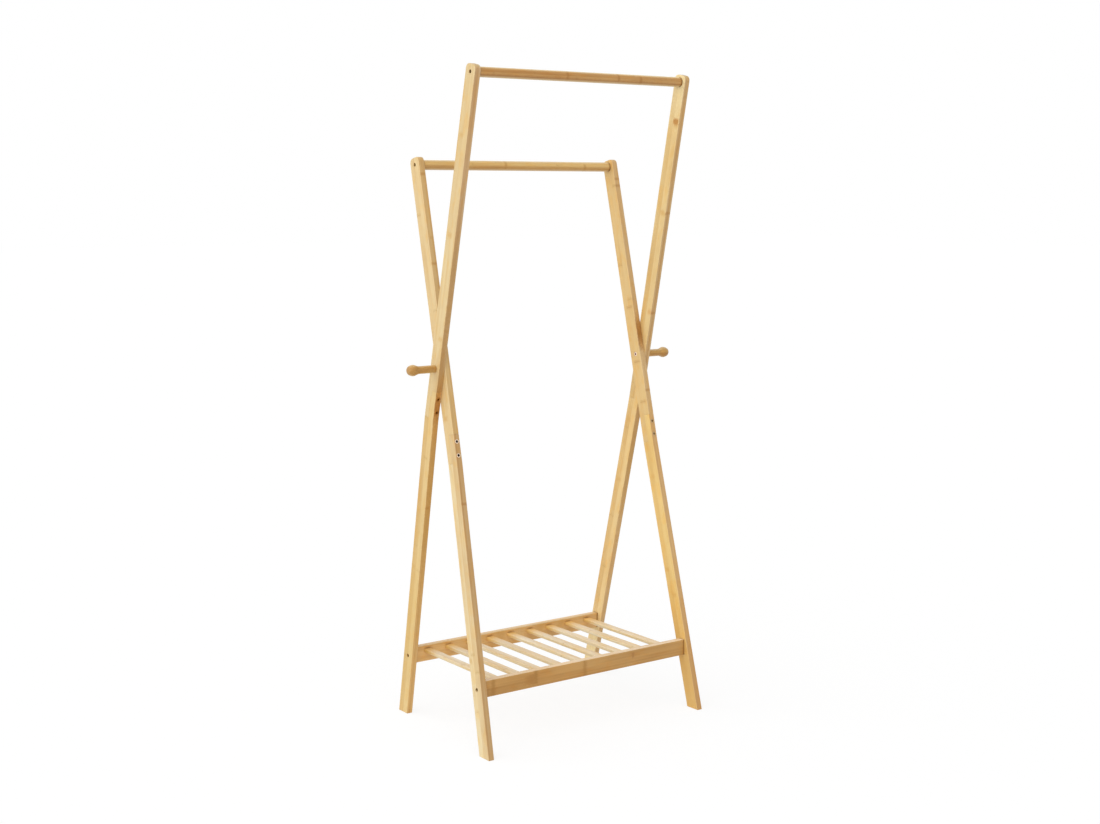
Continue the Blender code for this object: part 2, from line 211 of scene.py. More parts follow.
def buildBambooGrain():
    tree, w, given, out = newGroup(
        "bambooGrain",
        [
            ("Vector", vectorKind, (0, 0, 0)),
            ("Seed", floatKind, 0.0),
            ("Strip Width", floatKind, 0.0205),
            ("Strip Depth", floatKind, 0.0057),
            ("Knuckle Gap", floatKind, 0.27),
            ("Knuckle Amount", floatKind, 0.5),
            ("Light Tone", colorKind, (0.80, 0.60, 0.33, 1)),
            ("Deep Tone", colorKind, (0.56, 0.33, 0.12, 1)),
            ("Stain", floatKind, 0.3),
        ],
        [("Color", colorKind), ("Roughness", floatKind), ("Height", floatKind)],
    )
    x, y, z = w.split(given["Vector"])
    placeY = w.math("DIVIDE", y, given["Strip Width"])
    placeX = w.plus(w.math("DIVIDE", x, given["Strip Depth"]), 0.5)
    lowest, highest = grainSteps["outerLayers"]
    layer = w.math("FLOOR", w.math("MAXIMUM", w.math("MINIMUM", placeX, highest), lowest))
    strip = w.combine(layer, w.math("FLOOR", placeY), given["Seed"])
    tone = w.chance(strip)
    offset = w.chance(w.vector("ADD", strip, grainSteps["strip"]))

    # every strip reads its own piece of the noise
    jump = w.combine(w.times(tone, grainSteps["toneJump"]), offset, w.times(given["Seed"], grainSteps["seedJump"]))
    jumped = w.vector("ADD", given["Vector"], jump)
    fibre = w.noise(jumped, *grainNoise["fibre"])
    fleck = w.ease(w.noise(jumped, *grainNoise["fleck"]), *grainRanges["fleck"])
    streak = w.noise(jumped, *grainNoise["streak"])
    cloud = w.noise(jumped, *grainNoise["cloud"])
    drift = w.ease(w.noise(given["Vector"], *grainNoise["drift"]), *grainRanges["drift"])

    # knuckles stand at uneven distances along each strip, as a fine double line in a soft band
    form = knuckleForm
    cell = w.math("DIVIDE", w.plus(z, w.times(offset, grainSteps["knuckleShift"])), given["Knuckle Gap"])
    number = w.math("FLOOR", cell)
    ticket = w.vector("ADD", w.vector("MULTIPLY", strip, grainSteps["ticket"]), w.combine(number, 0.0, 0.0))
    centre = w.plus(w.times(w.chance(ticket), form["placeRange"]), form["firstPlace"])
    across = w.minus(w.math("FRACT", placeY), 0.5)
    bow = w.times(across, across, form["bow"])
    wander = w.times(w.minus(w.noise(jumped, *grainNoise["wander"]), 0.5), form["wander"])
    away = w.times(w.minus(w.math("FRACT", cell), centre), given["Knuckle Gap"])
    away = w.plus(away, bow, wander)
    luck = w.chance(w.vector("ADD", ticket, grainSteps["luck"]))
    present = w.math("LESS_THAN", luck, given["Knuckle Amount"])
    fade = w.times(present, w.ease(w.noise(jumped, *grainNoise["fade"]), *grainRanges["fade"]))
    firstLine = w.ease(w.size(away), *form["firstLine"])
    secondLine = w.ease(w.size(w.minus(away, form["secondAway"])), *form["secondLine"])
    line = w.times(w.math("MAXIMUM", firstLine, secondLine), fade)
    halo = w.times(w.ease(w.size(w.minus(away, form["haloAway"])), *form["halo"]), fade)

    # seams between the glued strips
    nearX = w.math("MINIMUM", w.size(placeX), w.size(w.minus(placeX, 1.0)))
    besideY = w.ease(w.size(across), *seamForm["widthEdge"])
    besideX = w.ease(nearX, *seamForm["depthEdge"])
    broken = w.ease(w.noise(jumped, *grainNoise["seam"]), *grainRanges["seam"])
    seam = w.times(w.math("MAXIMUM", besideY, besideX), broken)

    amounts = grainAmounts
    depth = w.plus(w.times(streak, amounts["streak"]), w.times(cloud, amounts["cloud"]))
    uneven = w.plus(w.times(w.minus(tone, 0.5), amounts["strip"]), w.times(w.minus(fibre, 0.5), amounts["fibre"]))
    deep = w.ease(w.plus(depth, uneven), *grainRanges["depth"])
    color = w.mix(deep, given["Light Tone"], given["Deep Tone"])
    warmth = w.plus(w.times(offset, amounts["stripWarmth"]), drift)
    color = w.mix(warmth, color, grainTones["warm"], "MULTIPLY")
    color = w.mix(w.times(fleck, amounts["fleck"]), color, grainTones["fleck"])
    stain = w.noise(w.vector("ADD", jumped, grainSteps["stain"]), *grainNoise["stain"])
    stain = w.ease(stain, *grainRanges["stain"])
    color = w.mix(w.times(stain, given["Stain"]), color, grainTones["stain"])
    glow = w.noise(w.vector("ADD", jumped, grainSteps["glow"]), *grainNoise["glow"])
    glow = w.ease(glow, *grainRanges["glow"])
    color = w.mix(w.times(glow, amounts["glow"]), color, grainTones["glow"], "MULTIPLY")
    for label, mask in (("halo", halo), ("line", line), ("seam", seam)):
        color = w.mix(w.times(mask, amounts[label]), color, grainTones[label])
    w.put(out["Color"], color)
    rougher = w.plus(w.times(fibre, amounts["fibreRoughness"]), w.times(line, amounts["lineRoughness"]))
    w.put(out["Roughness"], w.plus(rougher, amounts["roughness"]))
    raised = w.plus(w.times(fibre, amounts["fibreHeight"]), w.times(halo, amounts["haloHeight"]))
    sunk = w.plus(w.times(line, amounts["lineHeight"]), w.times(seam, amounts["seamHeight"]))
    w.put(out["Height"], w.minus(raised, sunk))
    return tree


# one chosen knuckle or patch; the edges are in parts of its half size, the lines in metres
markForm = {
    "noise": ((230, 230, 150), 2.0, 0.6),
    "edgeX": (0.85, 1.0, 1.0, 0.0),
    "edgeY": (0.55, 1.1, 1.0, 0.0),
    "edgeZ": (0.05, 1.1, 1.0, 0.0),
    "raggedY": 0.9,
    "raggedZ": 0.8,
    "bow": 0.0012,
    "wander": 0.003,
    "firstLine": (0.0003, 0.0016, 1.0, 0.0),
    "secondLine": (0.0002, 0.0013, 0.55, 0.0),
    "secondAway": 0.0040,
}


def buildKnuckleMark():
    tree, w, given, out = newGroup(
        "knuckleMark",
        [
            ("Vector", vectorKind, (0, 0, 0)),
            ("Color", colorKind, (0.8, 0.6, 0.33, 1)),
            ("Place", vectorKind, (0, 0, 0)),
            ("Half Size", vectorKind, (0.006, 0.010, 0.008)),
            ("Tone", colorKind, (0.5, 0.3, 0.1, 1)),
            ("Line", floatKind, 0.5),
            ("Band", floatKind, 0.3),
        ],
        [("Color", colorKind)],
    )
    form = markForm
    rough = w.minus(w.noise(given["Vector"], *form["noise"]), 0.5)
    apart = w.vector("SUBTRACT", given["Vector"], given["Place"])
    partX, partY, partZ = w.split(w.vector("DIVIDE", apart, given["Half Size"]))
    insideX = w.ease(w.size(partX), *form["edgeX"])
    insideY = w.ease(w.plus(w.size(partY), w.times(rough, form["raggedY"])), *form["edgeY"])
    insideZ = w.ease(w.plus(w.size(partZ), w.times(rough, form["raggedZ"])), *form["edgeZ"])
    inside = w.times(insideX, insideY)
    band = w.times(inside, insideZ)
    distance = w.plus(w.split(apart)[2], w.times(partY, partY, form["bow"]), w.times(rough, form["wander"]))
    firstLine = w.ease(w.size(distance), *form["firstLine"])
    secondLine = w.ease(w.size(w.minus(distance, form["secondAway"])), *form["secondLine"])
    line = w.times(w.math("MAXIMUM", firstLine, secondLine), inside)
    color = w.mix(w.times(band, given["Band"]), given["Color"], given["Tone"])
    color = w.mix(w.times(line, given["Line"]), color, grainTones["line"])
    w.put(out["Color"], color)
    return tree


# the long edges of a square piece, a little paler and smoother: painted highlight where the rounded edges catch the
# light, with a little wear
arris = {
    "start": 0.0002,
    "noise": ((300, 300, 22), 2.0, 0.5),
    "worn": (0.34, 0.62, 0.45, 1.0),
    "shine": 0.30,
    "tone": (0.90, 0.72, 0.45, 1),
    "smoother": 0.06,
}


def buildSoftArris():
    tree, w, given, out = newGroup(
        "arrisSheenAndWear",
        [
            ("Vector", vectorKind, (0, 0, 0)),
            ("Color", colorKind, (0.8, 0.6, 0.33, 1)),
            ("Roughness", floatKind, 0.4),
            ("Half Thickness", floatKind, 0.0085),
            ("Half Width", floatKind, 0.0205),
            ("Sheen And Wear Band", floatKind, 0.0018),
        ],
        [("Color", colorKind), ("Roughness", floatKind)],
    )
    x, y, _ = w.split(given["Vector"])
    nearX = w.ease(w.minus(given["Half Thickness"], w.size(x)), arris["start"], given["Sheen And Wear Band"], 1.0, 0.0)
    nearY = w.ease(w.minus(given["Half Width"], w.size(y)), arris["start"], given["Sheen And Wear Band"], 1.0, 0.0)
    worn = w.ease(w.noise(given["Vector"], *arris["noise"]), *arris["worn"])
    # painted highlight along the edges, partly wear
    sheenAndWear = w.times(nearX, nearY, worn)
    w.put(out["Color"], w.mix(w.times(sheenAndWear, arris["shine"]), given["Color"], arris["tone"]))
    w.put(out["Roughness"], w.minus(given["Roughness"], w.times(sheenAndWear, arris["smoother"])))
    return tree


# cut ends show the stalk's dark dots; facing is where a face begins and ends to count as one
endCut = {
    "noise": ((1500, 1500, 300), 1.0, 0.5),
    "dots": (0.50, 0.66),
    "facing": (0.55, 0.95),
    "amount": 0.40,
    "dotAmount": 0.55,
    "tone": (0.56, 0.36, 0.15, 1),
    "dotTone": (0.27, 0.145, 0.05, 1),
}


def buildEndGrain():
    # Facing is how far the face looks along the stalk
    tree, w, given, out = newGroup(
        "endGrain",
        [("Vector", vectorKind, (0, 0, 0)), ("Color", colorKind, (0.8, 0.6, 0.3, 1)), ("Facing", floatKind, 0.0)],
        [("Color", colorKind)],
    )
    dots = w.ease(w.noise(given["Vector"], *endCut["noise"]), *endCut["dots"])
    cut = w.mix(endCut["amount"], given["Color"], endCut["tone"])
    cut = w.mix(w.times(dots, endCut["dotAmount"]), cut, endCut["dotTone"])
    w.put(out["Color"], w.mix(w.ease(w.size(given["Facing"]), *endCut["facing"]), given["Color"], cut))
    return tree


# painted light and shade: each piece's wide and narrow faces get their own tint, for the light each face gets
faceTurn = (0.55, 0.9)     # from the wide faces' tint to the narrow ones'


def buildFaceTint():
    # Facing is how far the face looks across the width; the two tints are painted light and shade, deeper on faces
    # that get less light and paler on faces that get more
    tree, w, given, out = newGroup(
        "paintedFaceLight",
        [
            ("Color", colorKind, (0.8, 0.6, 0.33, 1)),
            ("Facing", floatKind, 0.0),
            ("Wide Tint", colorKind, (1, 1, 1, 1)),
            ("Narrow Tint", colorKind, (1, 1, 1, 1)),
        ],
        [("Color", colorKind)],
    )
    tint = w.mix(w.ease(w.size(given["Facing"]), *faceTurn), given["Wide Tint"], given["Narrow Tint"])
    w.put(out["Color"], w.mix(1.0, given["Color"], tint, "MULTIPLY"))
    return tree


# painted contact shade: the dark line round a rail's end, where it meets the leg
railEndShade = {"depth": 0.008, "edge": 0.001, "amount": 0.75, "tone": (0.21, 0.085, 0.020, 1)}


def buildEndShade():
    # Reach is how far the rail's end lies from its middle
    tree, w, given, out = newGroup(
        "endShade",
        [("Vector", vectorKind, (0, 0, 0)), ("Color", colorKind, (0.8, 0.6, 0.33, 1)), ("Reach", floatKind, 0.3)],
        [("Color", colorKind)],
    )
    along = w.size(w.split(given["Vector"])[2])
    shade = w.ease(along, w.minus(given["Reach"], railEndShade["depth"]), w.minus(given["Reach"], railEndShade["edge"]))
    w.put(out["Color"], w.mix(w.times(shade, railEndShade["amount"]), given["Color"], railEndShade["tone"]))
    return tree


print("stage: shared effects")
bambooGrain = buildBambooGrain()
knuckleMark = buildKnuckleMark()
arrisSheenAndWear = buildSoftArris()
endGrain = buildEndGrain()
paintedFaceLight = buildFaceTint()
endShade = buildEndShade()

# pale and honey are one bamboo; honey, the deeper copy, is painted shade on the right-hand legs, which stand further
# from the light
bambooTones = {
    "pale": {"light": (0.794, 0.602, 0.328, 1), "deep": (0.660, 0.425, 0.181, 1)},
    "honey": {"light": (0.773, 0.551, 0.261, 1), "deep": (0.622, 0.379, 0.135, 1)},
    "shelfRail": {"light": (0.700, 0.410, 0.145, 1), "deep": (0.490, 0.255, 0.072, 1)},
    "slat": {"light": (0.870, 0.700, 0.440, 1), "deep": (0.750, 0.530, 0.260, 1)},
    "dowel": {"light": (0.740, 0.490, 0.215, 1), "deep": (0.530, 0.280, 0.090, 1)},
}
lacquer = {
    "shader": {"IOR": 1.5, "Specular IOR Level": 0.32, "Coat Weight": 0.12, "Coat Roughness": 0.30},
    "bump": 0.30,
    "bumpDepth": 0.0004,
}

# half is a mark's half size through the thickness, across the width and along the stalk
markLooks = {
    "knuckle": {"half": (0.006, 0.0150, 0.0075), "line": 0.50, "band": 0.34, "tone": (0.56, 0.31, 0.090, 1)},
    "faint": {"half": (0.006, 0.0110, 0.0065), "line": 0.26, "band": 0.40, "tone": (0.60, 0.37, 0.115, 1)},
    "patch": {"half": (0.006, 0.0100, 0.0100), "line": 0.0, "band": 0.60, "tone": (0.64, 0.36, 0.105, 1)},
    "red": {"half": (0.006, 0.0112, 0.0105), "line": 0.20, "band": 1.60, "tone": (0.52, 0.232, 0.050, 1)},
    "redEdge": {"half": (0.006, 0.0090, 0.0120), "line": 0.0, "band": 0.62, "tone": (0.64, 0.31, 0.085, 1)},
    "ring": {"half": (0.012, 0.0130, 0.0060), "line": 0.26, "band": 0.60, "tone": (0.50, 0.235, 0.055, 1)},
    "joint": {"half": (0.006, 0.0300, 0.0100), "line": 0.12, "band": 0.60, "tone": (0.45, 0.210, 0.038, 1)},
    "smear": {"half": (0.006, 0.0150, 0.0260), "line": 0.0, "band": 0.80, "tone": (0.50, 0.24, 0.055, 1)},
    "knot": {"half": (0.006, 0.0090, 0.0060), "line": 0.45, "band": 0.55, "tone": (0.42, 0.18, 0.05, 1)},
    # painted shade over the slats' ends on the shelf rails
    "slatShadeLine": {"half": (0.006, 0.0028, 0.0150), "line": 0.0, "band": 0.75, "tone": (0.26, 0.115, 0.030, 1)},
    "edgeSpot": {"half": (0.012, 0.0032, 0.0055), "line": 0.12, "band": 0.50, "tone": (0.52, 0.235, 0.035, 1)},
    # painted shade inside the V where the legs cross
    "shortCreviceShade": {"half": (0.012, 0.0032, 0.0650), "line": 0.0, "band": 0.95, "tone": (0.44, 0.205, 0.045, 1)},
    # painted shade inside the V where the legs cross
    "longCreviceShade": {"half": (0.012, 0.0032, 0.2600), "line": 0.0, "band": 0.62, "tone": (0.56, 0.32, 0.075, 1)},
    "edgeWarm": {"half": (0.012, 0.0032, 0.2200), "line": 0.0, "band": 0.50, "tone": (0.56, 0.32, 0.075, 1)},
    # painted shade inside the V where the legs cross
    "lapCreviceShade": {"half": (0.012, 0.0032, 0.0600), "line": 0.0, "band": 0.85, "tone": (0.44, 0.20, 0.050, 1)},
    "paler": {"half": (0.003, 0.0400, 0.2200), "line": 0.0, "band": 0.60, "tone": (0.97, 0.78, 0.440, 1)},
    "golden": {"half": (0.024, 0.0400, 0.3800), "line": 0.0, "band": 0.50, "tone": (0.58, 0.29, 0.065, 1)},
    "warmer": {"half": (0.003, 0.0400, 0.3800), "line": 0.0, "band": 0.42, "tone": (0.66, 0.40, 0.105, 1)},
    "slatEndShade": {"half": (0.024, 0.0400, 0.0640), "line": 0.0, "band": 0.80, "tone": (0.79, 0.415, 0.070, 1)},
    # painted shade along the bottom of a round rail
    "undersideShade": {"half": (0.024, 0.0082, 3.0000), "line": 0.0, "band": 0.60, "tone": (0.46, 0.220, 0.074, 1)},
}


def newMaterial(name):
    material = bpy.data.materials.new(name)
    material.use_nodes = True
    return material, Wiring(material.node_tree), material.node_tree.nodes["Principled BSDF"].inputs


def pieceFrame(origin, along, width):
    # the turn and offset that bring a point to the piece's own X, Y and Z
    z = Vector(along).normalized()
    x = Vector(width).cross(z).normalized()
    turn = Matrix((x, z.cross(x), z))
    return turn, -(turn @ Vector(origin))


def pieceCoordinates(w, turn, offset):
    place = w.add("ShaderNodeTexCoord")
    mapping = w.add("ShaderNodeMapping")
    mapping.inputs["Location"].default_value = offset
    mapping.inputs["Rotation"].default_value = turn.to_euler()
    w.put(mapping.inputs["Vector"], place.outputs["Object"])
    return mapping.outputs[0], place.outputs["Normal"]


def bambooMaterial(name, look, line, seed, grain, half=None, marks=(), reach=None):
    # line is the piece's origin, its direction and the direction of its width
    material, w, shader = newMaterial(name)
    turn, offset = pieceFrame(*line)
    inPiece, normal = pieceCoordinates(w, turn, offset)
    tones = bambooTones[look["tone"]]
    own = {"Vector": inPiece, "Seed": seed, "Light Tone": tones["light"], "Deep Tone": tones["deep"]}
    stalk = w.group(bambooGrain, {**own, **grain})
    color, roughness = stalk["Color"], stalk["Roughness"]
    for kind, spot in marks:
        mark = markLooks[kind]
        color = w.group(knuckleMark, {
            "Vector": inPiece, "Color": color, "Place": spot, "Half Size": mark["half"], "Tone": mark["tone"],
            "Line": mark["line"], "Band": mark["band"],
        })["Color"]
    # painted light and shade: the face's tint follows how it turns to the light
    across = w.vector("DOT_PRODUCT", normal, turn[1])
    tints = {"Wide Tint": (*look["side"], 1), "Narrow Tint": (*look["front"], 1)}
    color = w.group(paintedFaceLight, {"Color": color, "Facing": across, **tints})["Color"]
    if reach:
        color = w.group(endShade, {"Vector": inPiece, "Color": color, "Reach": reach})["Color"]
    if half:
        size = {"Half Thickness": half[0], "Half Width": half[1]}
        sheenAndWear = w.group(arrisSheenAndWear, {"Vector": inPiece, "Color": color, "Roughness": roughness, **size})
        color, roughness = sheenAndWear["Color"], sheenAndWear["Roughness"]
    along = w.vector("DOT_PRODUCT", normal, turn[2])
    color = w.group(endGrain, {"Vector": inPiece, "Color": color, "Facing": along})["Color"]
    w.put(shader["Base Color"], color)
    w.put(shader["Roughness"], roughness)
    w.put(shader["Normal"], w.bump(stalk["Height"], lacquer["bump"], lacquer["bumpDepth"]))
    for label, value in lacquer["shader"].items():
        shader[label].default_value = value
    return material


def dress(node, material):
    piece = nodes[node]
    piece.data.materials.clear()
    piece.data.materials.append(material)


def spotsAt(depth, marks):
    # a mark's look, its place along the stalk and its place across the width, at a depth through the thickness
    return [(look, (depth, across, along)) for look, along, across in marks]


# a leg stands at footX and footY, its Y changes by slope for each metre up and it passes crossX at the crossing's
# height; side and front are the tints of a piece's wide and narrow faces, painted light and shade with a little of its
# own tone
legs = {
    "halfSize": (0.00845, 0.0204),
    "halfLap": 0.037,         # half the length of the lap joint, whose middle is at lapHeight
    "edgeLine": 0.0219,       # from the middle of the width to the line of the edge marks
    "crossing": 0.94909,
    "spread": 0.0080,         # outwards for each metre down
    "tall": {"footY": 0.21605, "footX": 0.31249, "crossX": 0.33380, "slope": -0.21173, "lapHeight": 0.85789},
    "short": {"footY": -0.21590, "footX": 0.34169, "crossX": 0.31660, "slope": 0.24339, "lapHeight": 0.74909},
    "firstSeed": 2.4,
    "seedStep": 1.37,
    "grain": {
        "Strip Width": 0.0205, "Strip Depth": 0.0057, "Knuckle Gap": 0.33, "Knuckle Amount": 0.22, "Stain": 0.20,
    },
    "looks": {
        "tall_leg_upper_left": {"tone": "pale", "side": (1.033, 1.111, 1.149), "front": (0.865, 0.787, 0.773)},
        "tall_leg_lower_left": {"tone": "honey", "side": (1.015, 1.071, 1.043), "front": (1.000, 0.898, 0.736)},
        "short_leg_upper_left": {"tone": "pale", "side": (1.025, 1.072, 1.075), "front": (0.905, 0.843, 0.715)},
        "short_leg_lower_left": {"tone": "pale", "side": (1.004, 1.097, 1.211), "front": (0.782, 0.689, 0.602)},
        "tall_leg_upper_right": {"tone": "honey", "side": (1.031, 1.099, 1.121), "front": (0.869, 0.830, 0.839)},
        "tall_leg_lower_right": {"tone": "honey", "side": (1.046, 1.093, 1.093), "front": (0.931, 0.869, 0.831)},
        "short_leg_upper_right": {"tone": "honey", "side": (0.977, 0.962, 0.874), "front": (0.881, 0.840, 0.841)},
        "short_leg_lower_right": {"tone": "honey", "side": (1.105, 1.135, 0.962), "front": (0.886, 0.806, 0.762)},
    },
    # a look, its place along the stalk from the lap and its place across the wide face
    "marks": {
        "tall_leg_upper_left": (("patch", 0.682, 0.005), ("patch", 0.436, 0.003), ("patch", 0.173, -0.009)),
        "tall_leg_lower_left": (
            ("faint", -0.145, 0.0), ("patch", -0.292, 0.010), ("patch", -0.452, 0.012), ("faint", -0.660, 0.006),
            ("warmer", -0.620, 0.0),
        ),
        "short_leg_upper_left": (("faint", 0.600, 0.011), ("patch", 0.282, 0.0), ("patch", 0.078, 0.005)),
        "short_leg_lower_left": (("faint", -0.515, 0.0), ("faint", -0.558, -0.012), ("patch", -0.530, 0.015)),
        "tall_leg_upper_right": (
            ("paler", 0.900, 0.0), ("redEdge", 0.733, -0.009), ("patch", 0.724, -0.010), ("red", 0.733, -0.008),
            ("patch", 0.491, -0.004), ("patch", 0.488, -0.012), ("redEdge", 0.216, -0.014),
        ),
        "tall_leg_lower_right": (
            # the paler mark near the foot is painted light on the part that lies behind the slats
            ("patch", -0.100, 0.006), ("patch", -0.277, 0.004), ("faint", -0.543, 0.003), ("paler", -0.840, 0.0),
        ),
        "short_leg_upper_right": (
            ("faint", 0.672, -0.016), ("knuckle", 0.335, -0.004), ("knuckle", 0.184, -0.003),
            ("knuckle", 0.073, -0.003),
        ),
        "short_leg_lower_right": (
            ("patch", -0.133, 0.005), ("patch", -0.390, 0.010), ("patch", -0.460, -0.004), ("golden", -0.720, 0.0),
        ),
    },
    # a look and its place along the stalk, on the narrow front face
    # the long, brown and lap marks below are painted shade on the front faces inside the V where the legs cross
    "edgeMarks": {
        "tall_leg_upper_left": (("longCreviceShade", 0.060), ("edgeWarm", 0.330), ("lapCreviceShade", 0.0)),
        "tall_leg_lower_left": (("longCreviceShade", -0.150), ("longCreviceShade", -0.320), ("edgeSpot", -0.277), ("lapCreviceShade", 0.0)),
        "short_leg_upper_left": (("edgeSpot", 0.700), ("edgeSpot", 0.470)),
        "short_leg_lower_left": (("edgeSpot", -0.140),),
        "tall_leg_upper_right": (("edgeSpot", 0.491), ("edgeSpot", 0.214)),
        "tall_leg_lower_right": (("longCreviceShade", -0.200),),
        "short_leg_upper_right": (("edgeSpot", 0.690), ("edgeSpot", 0.671), ("shortCreviceShade", 0.262), ("edgeSpot", 0.103)),
        "short_leg_lower_right": (),
    },
}


def legLine(kind, side):
    # the lap joint's middle and the upper leg's direction
    leg = legs[kind]
    height = leg["lapHeight"]
    x = leg["crossX"] + legs["spread"] * (legs["crossing"] - height)
    middle = Vector((side * x, leg["footY"] + leg["slope"] * height, height))
    return middle, Vector((-side * legs["spread"], leg["slope"], 1)).normalized()


def dressLegs():
    for number, (name, look) in enumerate(legs["looks"].items()):
        kind, _, part, sideName = name.split("_")
        leg = legs[kind]
        side = -1 if sideName == "left" else 1
        origin, along = legLine(kind, side)
        if part == "lower":
            bend = origin - along * legs["halfLap"]
            along = (bend - Vector((side * leg["footX"], leg["footY"], 0))).normalized()
            origin = bend + along * legs["halfLap"]
        edgeMarks = [(mark, z, -legs["edgeLine"]) for mark, z in legs["edgeMarks"][name]]
        spots = spotsAt(-legs["halfSize"][0], legs["marks"][name]) + spotsAt(0.0, edgeMarks)
        line = (origin, along, (0, 1, -leg["slope"]))
        seed = legs["firstSeed"] + number * legs["seedStep"]
        dress(name, bambooMaterial(name, look, line, seed, legs["grain"], half=legs["halfSize"], marks=spots))


rails = {
    # side and front tint the faces as painted light and shade: the front tint makes tops and undersides paler, a
    # painted highlight, and the rear shelf rail's side tint paints its inner face paler where the slats shade it
    "looks": {
        "high_hanging_rail": {
            "tone": "dowel", "y": -0.1386, "z": 1.675, "seed": 31.0,
            "side": (0.818, 0.705, 0.551), "front": (1.210, 1.590, 2.200),
        },
        "low_hanging_rail": {
            "tone": "dowel", "y": 0.1386, "z": 1.4565, "seed": 37.5,
            "side": (1.058, 1.089, 0.982), "front": (1.250, 1.630, 2.270),
        },
        "shelf_rail_front": {
            "tone": "shelfRail", "y": -0.1757, "z": 0.1652, "seed": 43.2,
            "side": (0.883, 0.853, 0.770), "front": (1.323, 1.770, 3.402),
        },
        "shelf_rail_rear": {
            "tone": "shelfRail", "y": 0.1811, "z": 0.1652, "seed": 47.9,
            "side": (1.357, 1.550, 1.960), "front": (1.206, 1.497, 2.187),
        },
    },
    "grain": {"Knuckle Gap": 0.21, "Knuckle Amount": 0.45, "Stain": 0.30},
    "strips": {
        "dowel": {"Strip Width": 0.0065, "Strip Depth": 0.0130},
        "shelfRail": {"Strip Width": 0.0215, "Strip Depth": 0.0064},
    },
    "shelfHalf": (0.0095, 0.0214),
    "markDepth": -0.0100,
    "contactX": 0.0100,       # of the slats' lines of painted shade, through the rail's thickness and up
    "contactY": 0.0142,
    # a look, its place along the rail from the middle and its place up
    "marks": {
        # the first mark on each round rail is painted shade, a deeper band along its bottom
        "high_hanging_rail": (
            ("undersideShade", 0.0, -0.0125), ("ring", -0.0543, 0.0), ("ring", 0.1072, 0.004), ("ring", 0.1793, -0.003),
        ),
        "low_hanging_rail": (("undersideShade", 0.0, -0.0125), ("ring", -0.0474, 0.002), ("ring", 0.2144, -0.004)),
        "shelf_rail_front": (
            ("joint", -0.3010, 0.0), ("joint", -0.1696, 0.010), ("smear", -0.1850, 0.0), ("joint", -0.0124, 0.0),
            ("knot", 0.1483, 0.008),
        ),
        "shelf_rail_rear": (("smear", -0.0338, 0.010), ("smear", 0.1029, 0.012), ("smear", 0.1729, 0.010)),
    },
}


def middleOf(name):
    low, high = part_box(name)
    return (Vector(low) + Vector(high)) / 2


def slatShadeSpots(name):
    # painted shade: dark lines over the slats' ends, on the inner face of a shelf rail
    depth = rails["contactX"] if name == "shelf_rail_front" else -rails["contactX"]
    places = [middleOf(f"slat_{index + 1}").x for index in range(slats["count"])]
    return spotsAt(depth, [("slatShadeLine", place, rails["contactY"]) for place in places])


def dressRails():
    for name, rail in rails["looks"].items():
        spots = spotsAt(rails["markDepth"], rails["marks"][name])
        half = None
        if rail["tone"] == "shelfRail":
            spots += slatShadeSpots(name)
            half = rails["shelfHalf"]
        line = ((0, rail["y"], rail["z"]), (1, 0, 0), (0, 0, 1))
        grain = {**rails["grain"], **rails["strips"][rail["tone"]]}
        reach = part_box(name)[1][0]
        dress(name, bambooMaterial(name, rail, line, rail["seed"], grain, half=half, marks=spots, reach=reach))


# slat marks stand along the slat from its middle, to the rear; the one at the rear end is painted shade, deeper and
# more orange where the rear rail shades the slat
slats = {
    "count": 9,
    "firstSeed": 60,
    "seedStep": 2.3,
    "grain": {
        "Strip Width": 0.0231, "Strip Depth": 0.0047, "Knuckle Gap": 0.26, "Knuckle Amount": 0.5, "Stain": 0.08,
    },
    # side and front are painted light and shade: the side tint is for the slats' paler tops, the front tint for their
    # deeper long edges
    "look": {"tone": "slat", "side": (1.000, 1.060, 1.251), "front": (0.933, 1.034, 1.208)},
    "marks": (("slatEndShade", 0.165, 0.0),),
}


def dressSlats():
    for index in range(slats["count"]):
        name = f"slat_{index + 1}"
        line = (middleOf(name), (0, 1, 0), (1, 0, 0))
        seed = slats["firstSeed"] + index * slats["seedStep"]
        spots = spotsAt(0.0, slats["marks"])
        dress(name, bambooMaterial(name, slats["look"], line, seed, slats["grain"], marks=spots))


pegs = {
    "seeds": {"peg_left": 91.0, "peg_right": 94.0},
    "grain": {
        "Strip Width": 0.011, "Strip Depth": 0.0075, "Knuckle Gap": 0.4, "Knuckle Amount": 0.2, "Stain": 0.35,
    },
    # side and front are painted light and shade: the pegs' sides are tinted deeper and their tops and undersides a
    # little paler
    "look": {"tone": "dowel", "side": (0.755, 0.660, 0.438), "front": (0.980, 1.071, 1.165)},
}


def dressPegs():
    for name, seed in pegs["seeds"].items():
        line = (middleOf(name), (1, 0, 0), (0, 0, 1))
        dress(name, bambooMaterial(name, pegs["look"], line, seed, pegs["grain"]))


# inside and lip are parts of the socket's radius, rim is parts of the head's
headForm = {
    "speck": ((900, 900, 900), 3.0, 0.6),
    "rings": 9000,            # turning marks, as an angle per metre
    "inside": (1.02, 1.18, 1.0, 0.0),
    "lipAt": 1.08,
    "lip": (0.0, 0.16, 1.0, 0.0),
    "rim": (0.84, 0.99),
    "worn": (0.40, 0.72, 0.0, 0.7),
    "rimWear": 0.6, "lipWear": 0.35,
    "speckRoughness": 0.16, "socketRoughness": 0.25,
    "speckHeight": 0.6, "ringHeight": 0.25,
}


